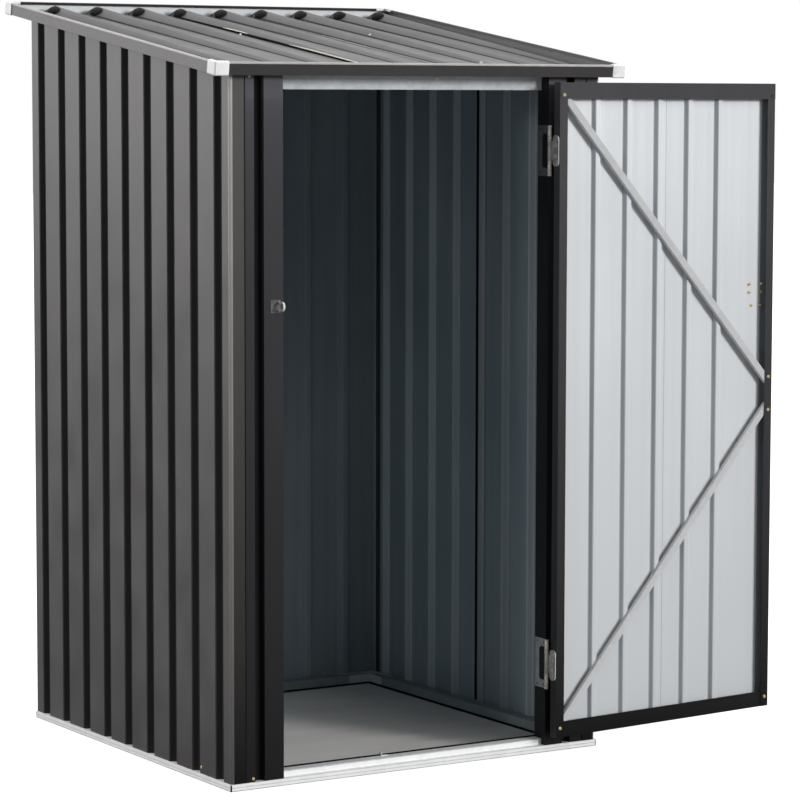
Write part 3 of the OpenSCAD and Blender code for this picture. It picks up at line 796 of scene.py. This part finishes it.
# Inner lips of the corner caps
lip_low = trim_height - 4 * mm
lip_high = trim_height + 2.2 * mm
lip_outer = 6.6 * mm
lip_inner = 8.4 * mm
lip_outline = ((lip_outer, lip_outer), (cap_reach, lip_outer), (cap_reach, lip_inner),
               (lip_inner, lip_inner), (lip_inner, cap_reach), (lip_outer, cap_reach))
cap_lips = bmesh.new()
for x in (-1, 1):
    for far in (0, 1):
        corner = on_roof(x * roof_half, far * roof_length, 0) @ Matrix.Diagonal((-x, 1 - 2 * far, 1, 1))
        add_solid(cap_lips, [[corner @ Vector((a, b, z)) for a, b in lip_outline]
                             for z in (lip_low, lip_high)])
piece("roof_cap_lips", cap_lips, white_plastic, "shed")

# Rolled lines along the base rails, darker as painted shade, and strips of painted shadow along the edge of
# the threshold and the edge of the floor
rail_runs = (("front", (0, -base_y), base_x), ("back", (0, base_y), base_x),
             ("left", (-base_x, 0), base_y), ("right", (base_x, 0), base_y))


def proud(across, low, high):
    """Section of a fine rolled line that stands out from an upright face."""
    root = across + 0.2 * mm
    out = across - 0.5 * mm
    ease = 0.3 * mm
    return ((root, low), (out, low + ease), (out, high - ease), (root, high))


rail_line_parts = (("foot", proud(0, 0.2 * mm, 2.6 * mm), 0),
                   ("middle", proud(0, 8.0 * mm, 9.6 * mm), 0),
                   ("crown", proud(rail_ledge, rail_height - 2.2 * mm, rail_height - 0.2 * mm), rail_ledge))
threshold_edge = ((rail_width - 2.4 * mm, rail_height - 0.3 * mm),
                  (rail_width - 0.4 * mm, rail_height - 0.3 * mm),
                  (rail_width - 0.8 * mm, rail_height + 3.6 * mm),
                  (rail_width - 1.8 * mm, rail_height + 3.6 * mm))
floor_edge = ((rail_width - 0.2 * mm, 3.8 * mm), (rail_width + 7.0 * mm, 3.8 * mm),
              (rail_width + 5.0 * mm, 5.6 * mm), (rail_width - 0.2 * mm, 8.0 * mm))
line_short = 3 * mm
edge_short = 1 * mm
for name, (x, y), half in rail_runs:
    place = Matrix.Translation((x, y, 0)) @ side_turns[name]
    for part, section, back in rail_line_parts:
        reach = half - back - line_short
        line = strip(section, (-reach, reach), place)
        piece(f"base_{name}_{part}_line", line, rail_shade_line, "shed")
    # The threshold and floor edges are strips of painted shadow.
    edge = threshold_edge if name == "front" else floor_edge
    reach = half - rail_width - edge_short
    piece(f"base_{name}_painted_shadow_edge", strip(edge, (-reach, reach), place), joint_and_shadow_dark, "shed")

# Joining plates on the rails in the back corners, with outlines in millimetres from the corner
flat_plate = (((21, 21), (130, 21), (118, 30), (62, 36), (52, 52), (36, 62), (30, 118), (21, 130)),
              rail_height - 0.1 * mm, rail_height + 0.9 * mm)
upright_plate = (((49.8, 49.8), (112, 49.8), (112, 50.8), (51.2, 51.2), (50.8, 112), (49.8, 112)),
                 8.5 * mm, rail_height - 1.5 * mm)
plates = bmesh.new()
for x in (-1, 1):
    for outline, low, high in (flat_plate, upright_plate):
        add_solid(plates, [[(x * (base_x - a * mm), base_y - b * mm, z) for a, b in outline]
                           for z in (low, high)])
piece("base_corner_plates", plates, frame_zinc, "shed")

# Dark open joints at the corners of the base, with an outline in millimetres from the corner
gap_outline = ((0.6, 0.6), (4.6, 0.9), (5.0, 5.0), (0.9, 4.6))
gap_ends = (0.3 * mm, rail_lip - 1.4 * mm)
corner_gaps = bmesh.new()
for x in (-1, 1):
    for y in (-1, 1):
        add_solid(corner_gaps, [[(x * (base_x - a * mm), y * (base_y - b * mm), z) for a, b in gap_outline]
                                for z in gap_ends])
piece("base_corner_gaps", corner_gaps, joint_and_shadow_dark, "shed")

# Dark open lap down the middle of each side wall, on the inside
lap_inside = wall_x - groove_depth - 2 * sheet
lap_middle = -10 * mm
lap_section = ((-8 * mm, -0.1 * mm), (3 * mm, -0.1 * mm), (2 * mm, 0.9 * mm), (-6.5 * mm, 1.1 * mm))
for side, name in ((-1, "left"), (1, "right")):
    lap_turn = (Matrix.Rotation(side * quarter, 4, "Z") @ Matrix.Rotation(quarter, 4, "X")
                @ Matrix.Rotation(math.pi, 4, "Y"))
    lap_place = Matrix.Translation((side * lap_inside, lap_middle, 0)) @ lap_turn
    lap_line = strip(lap_section, (rail_height + 2 * mm, eave_height - 4 * mm), lap_place)
    piece(f"wall_lap_{name}", lap_line, joint_and_shadow_dark, "shed")

# Dark joint where each corner sheet ends on the front panel
wrap_end = wall_x - wrap_width
panel_face = -wall_y + sheet
joint_line = ((-1.8 * mm, 0), (1.8 * mm, 0), (1.2 * mm, 1.1 * mm), (-1.2 * mm, 1.1 * mm))
for side, name in ((-1, "left"), (1, "right")):
    upright_place = on_front(side * wrap_end, 0, panel_face)
    seam = strip(joint_line, (18 * mm, eave_height - 2 * mm), upright_place)
    piece(f"front_joint_{name}", seam, joint_and_shadow_dark, "shed")

# Screws of the walls
wall_screw = screw(3.6 * mm, 2.4 * mm)
low_row = 29 * mm
high_row = 1650 * mm
front_places = [on_front(-441 * mm, 24 * mm, panel_face),
                on_front(-447 * mm, eave_height - 1.5 * mm, panel_face)]
side_places = [on_side(-1, -366 * mm, 31 * mm)]
side_places += [on_side(1, (k - 3.5) * side_pitch, low_row) for k in (0, 2, 5, 7)]
back_places = [on_back((k - 3) * back_pitch, z) for k in (0, 2, 4, 6) for z in (low_row, high_row)]
gather("wall_screws", wall_screw, front_places + side_places + back_places, brass, "shed")

# Screws of the door frame and the open hole at its upper latch corner
corner_along = 12 * mm
latch_along = door_width - corner_along
door_places = [on_door(corner_along, door_high - 29 * mm),
               on_door(corner_along, door_low + 22 * mm, stile_inner),
               on_door(latch_along, 866 * mm, stile_inner),
               on_door(latch_along, 784 * mm, stile_inner),
               on_door(latch_along, door_low + 24 * mm, stile_inner)]
gather("door_frame_screws", screw(4.3 * mm, 2.8 * mm), door_places, brass, "door")
eyelet = turned([(0, -0.4 * mm), (3.6 * mm, -0.4 * mm), (3.6 * mm, 0.3 * mm), (3.0 * mm, 0.5 * mm),
                 (2.5 * mm, 0.2 * mm), (2.4 * mm, -0.2 * mm), (0, -0.2 * mm)])
bmesh.ops.transform(eyelet, matrix=on_door(latch_along, door_high - 30 * mm), verts=eyelet.verts)
piece("door_frame_hole", eyelet, black_plastic, "door")

# Screw ends of the latch, through the door sheet
latch_tips = [on_door(a, z, door_sheet_inner) for a, z in
              ((627 * mm, 1095 * mm), (627 * mm, 1075 * mm), (666 * mm, 1095 * mm), (666 * mm, 1075 * mm),
               (635 * mm, 1043 * mm), (662 * mm, 1043 * mm))]
gather("latch_screw_ends", tip(2.1 * mm, 7 * mm), latch_tips, brass, "door")

# Dark joint where the two door sheets lap
seam_along = door_rib_first + 2 * door_pitch + door_rib_width
joint_section = ((-1.3 * mm, -0.2 * mm), (1.3 * mm, -0.2 * mm), (0.9 * mm, 0.5 * mm), (-0.9 * mm, 0.5 * mm))
joint_place = on_door(seam_along, 0, door_sheet_inner - sheet) @ Matrix.Rotation(math.pi, 4, "Z")
door_joint = strip(joint_section, (door_low + 2 * mm, door_high - 2 * mm), joint_place)
piece("door_sheet_joint", door_joint, joint_and_shadow_dark, "door")

# Screws, rings and rims of the hinges, and the screws of the staple; the bright rings and rims are painted
# glints and highlights
hinge_screw = countersunk(3.4 * mm)
hinge_starts = (154 * mm, 1369 * mm)
hinge_half = 59 * mm
leaf_thick = 1.5 * mm
leaf_face = leaf_thick - hinge_gap
door_leaf_spots = ((-27 * mm, 26 * mm), (27 * mm, 26 * mm), (-12 * mm, 18 * mm), (12 * mm, 18 * mm))
jamb_leaf_spots = ((-50 * mm, 14 * mm), (50 * mm, 14 * mm), (-52 * mm, 41 * mm), (52 * mm, 41 * mm))
door_leaf_places = []
jamb_leaf_places = []
for start in hinge_starts:
    middle = start + hinge_half
    for up, deep in door_leaf_spots:
        inner = Matrix.Translation((leaf_face, deep, middle + up))
        door_leaf_places.append(door_frame() @ inner @ Matrix.Rotation(quarter, 4, "Y"))
    for up, deep in jamb_leaf_spots:
        spot = (hinge.x - leaf_face, hinge.y + deep, middle + up)
        jamb_leaf_places.append(Matrix.Translation(spot) @ Matrix.Rotation(-quarter, 4, "Y"))
gather("hinge_door_screws", hinge_screw, door_leaf_places, blue_zinc, "door")
ring_mesh = bpy.data.meshes.new("ring")
turned([(0, -0.6 * mm), (5.0 * mm, -0.6 * mm), (5.0 * mm, 0.5 * mm), (4.5 * mm, 1.2 * mm),
        (3.8 * mm, 1.0 * mm), (3.5 * mm, 0.1 * mm), (0, 0.1 * mm)]).to_mesh(ring_mesh)
gather("hinge_door_rings", ring_mesh, door_leaf_places, bright_plate_and_glint, "door")


def rim_path(low):
    """Points and outward ways along the rounded far edge of a door hinge leaf, in depth and height."""
    near = 15 * mm
    far = 31 * mm
    soft = 8 * mm
    bottom = low + 23.5 * mm
    top = bottom + 71 * mm
    points = [(near, bottom, 0, -1)]
    for centre_up, first in ((bottom + soft, -90), (top - soft, 0)):
        for step in range(7):
            turn = math.radians(first + 15 * step)
            out = (math.cos(turn), math.sin(turn))
            points.append((far - soft + soft * out[0], centre_up + soft * out[1], *out))
    points.append((near, top, 0, 1))
    return points


rim_section = ((-0.8 * mm, -0.3 * mm), (0.5 * mm, -0.3 * mm), (0.4 * mm, 0.8 * mm), (-0.5 * mm, 0.9 * mm))
rims = bmesh.new()
for start in hinge_starts:
    rows = []
    for deep, up, out_deep, out_up in rim_path(start):
        rows.append([door_frame() @ Vector((leaf_face + high, deep + out * out_deep, up + out * out_up))
                     for out, high in rim_section])
    add_solid(rims, rows)
piece("hinge_leaf_rims", rims, bright_plate_and_glint, "door")
gather("hinge_jamb_screws", hinge_screw, jamb_leaf_places, blue_zinc, "shed")
staple_low, staple_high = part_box("lock_staple")
staple_places = [on_front(staple_low.x + 5 * mm, z, -wall_y - 1.6 * mm)
                 for z in (staple_low.z + 6 * mm, staple_high.z - 6 * mm)]
gather("staple_screws", countersunk(2.6 * mm), staple_places, blue_zinc, "shed")

# Eye in the strip over the doorway and the small folded tab on the threshold
header_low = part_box("door_header")[0]
eye = turned([(0, -0.5 * mm), (6.0 * mm, -0.5 * mm), (6.0 * mm, 1.2 * mm), (5.2 * mm, 2.0 * mm),
              (3.8 * mm, 1.8 * mm), (3.2 * mm, 0.4 * mm), (0, 0.3 * mm)])
bmesh.ops.transform(eye, matrix=on_front(61 * mm, eave_height - 7 * mm, header_low.y), verts=eye.verts)
piece("header_eye", eye, bright_plate_and_glint, "shed")
tab_metal = 1.2 * mm
tab_section = ((0, 0), (18 * mm, 0), (18 * mm, tab_metal), (tab_metal, tab_metal), (tab_metal, 9 * mm),
               (0, 9 * mm))
tab_spot = (-79 * mm, rail_width - base_y - 8 * mm, rail_height - 0.2 * mm)
tab = strip(tab_section, (0, 14 * mm), Matrix.Translation(tab_spot))
piece("floor_tab", tab, white_plastic, "shed")


# Stage: floor, world, lamps and camera

def make_floor():
    """Ground that the camera sees as white with soft shadows, and that throws back less light than that."""
    seen_tone = (0.62, 0.62, 0.62, 1)
    seen_glow = 0.72
    bounce_tone = (0.22, 0.22, 0.22, 1)
    half_size = 40
    shape = bmesh.new()
    bmesh.ops.create_grid(shape, x_segments=2, y_segments=2, size=half_size)
    mesh = bpy.data.meshes.new("stage_floor")
    shape.to_mesh(mesh)
    shape.free()
    item = bpy.data.objects.new("stage_floor", mesh)
    item.location.z = -0.3 * mm
    bpy.context.collection.objects.link(item)
    material = bpy.data.materials.new("stage_floor")
    material.use_nodes = True
    tree = material.node_tree
    tree.nodes.clear()
    out = tree.nodes.new("ShaderNodeOutputMaterial")
    seen = tree.nodes.new("ShaderNodeBsdfDiffuse")
    seen.inputs["Color"].default_value = seen_tone
    glow = tree.nodes.new("ShaderNodeEmission")
    glow.inputs["Strength"].default_value = seen_glow
    both = tree.nodes.new("ShaderNodeAddShader")
    bounce = tree.nodes.new("ShaderNodeBsdfDiffuse")
    bounce.inputs["Color"].default_value = bounce_tone
    path = tree.nodes.new("ShaderNodeLightPath")
    choose = tree.nodes.new("ShaderNodeMixShader")
    tree.links.new(seen.outputs[0], both.inputs[0])
    tree.links.new(glow.outputs[0], both.inputs[1])
    tree.links.new(path.outputs["Is Camera Ray"], choose.inputs[0])
    tree.links.new(bounce.outputs[0], choose.inputs[1])
    tree.links.new(both.outputs[0], choose.inputs[2])
    tree.links.new(choose.outputs[0], out.inputs["Surface"])
    mesh.materials.append(material)


def make_world():
    """Dim in front and bright behind, white to the camera, with a brighter backdrop in reflections."""
    world = bpy.data.worlds.new("studio")
    bpy.context.scene.world = world
    world.use_nodes = True
    tree = world.node_tree
    tree.nodes.clear()
    out = tree.nodes.new("ShaderNodeOutputWorld")
    coord = tree.nodes.new("ShaderNodeTexCoord")
    split = tree.nodes.new("ShaderNodeSeparateXYZ")
    tree.links.new(coord.outputs["Generated"], split.inputs[0])
    path = tree.nodes.new("ShaderNodeLightPath")

    def backdrop(front, back):
        turn = tree.nodes.new("ShaderNodeMapRange")
        turn.interpolation_type = "SMOOTHSTEP"
        turn.inputs["From Min"].default_value = -0.35
        turn.inputs["From Max"].default_value = 0.75
        turn.inputs["To Min"].default_value = front
        turn.inputs["To Max"].default_value = back
        light = tree.nodes.new("ShaderNodeBackground")
        tree.links.new(split.outputs["Y"], turn.inputs["Value"])
        tree.links.new(turn.outputs["Result"], light.inputs["Strength"])
        return light

    def choose(ray, otherwise, chosen):
        mix = tree.nodes.new("ShaderNodeMixShader")
        tree.links.new(path.outputs[ray], mix.inputs[0])
        tree.links.new(otherwise.outputs[0], mix.inputs[1])
        tree.links.new(chosen.outputs[0], mix.inputs[2])
        return mix

    white = tree.nodes.new("ShaderNodeBackground")
    white.inputs["Color"].default_value = (1, 1, 1, 1)
    light = choose("Is Glossy Ray", backdrop(0.18, 0.9), backdrop(0.12, 1.3))
    tree.links.new(choose("Is Camera Ray", light, white).outputs[0], out.inputs["Surface"])


def sun(name, toward, strength, spread, colour=(1, 1, 1)):
    """Lamp whose light comes from the given direction, with a soft disc of spread degrees."""
    lamp = bpy.data.lights.new(name, "SUN")
    lamp.energy = strength
    lamp.angle = math.radians(spread)
    lamp.color = colour
    item = bpy.data.objects.new(name, lamp)
    item.rotation_euler = Vector(toward).to_track_quat("Z", "Y").to_euler()
    bpy.context.collection.objects.link(item)
    return item


def make_camera():
    """Camera fitted to the corners of the shed in the photo, with angles in degrees."""
    photo_width = 800
    focal_pixels = 3173.5
    heading = -31.77
    pitch = -5.42
    roll = 0.11
    spot = (-3.863, -6.656, 1.548)
    lens = bpy.data.cameras.new("camera")
    lens.sensor_width = 36
    lens.lens = focal_pixels * lens.sensor_width / photo_width
    lens.clip_end = 200
    item = bpy.data.objects.new("camera", lens)
    turn = (Matrix.Rotation(math.radians(heading), 4, "Z") @ Matrix.Rotation(math.radians(90 + pitch), 4, "X")
            @ Matrix.Rotation(math.radians(roll), 4, "Z"))
    item.matrix_world = Matrix.Translation(spot) @ turn
    bpy.context.collection.objects.link(item)
    bpy.context.scene.camera = item


make_floor()
make_world()
sun("key_right_front", (0.485, -0.875, 0.23), 2.4, 16).visible_glossy = False
sun("side_left_back", (-0.70, 0.62, 0.30), 1.75, 45, (1.0, 0.965, 0.97))
sun("edge_left", (-0.93, -0.37, 0.10), 0.2, 6)
sun("top", (0.05, 0.2, 1.0), 1.2, 60)
sun("front_high", (0.28, -0.78, 0.58), 0.5, 40).visible_glossy = False
make_camera()
bpy.context.scene.view_settings.view_transform = "Standard"
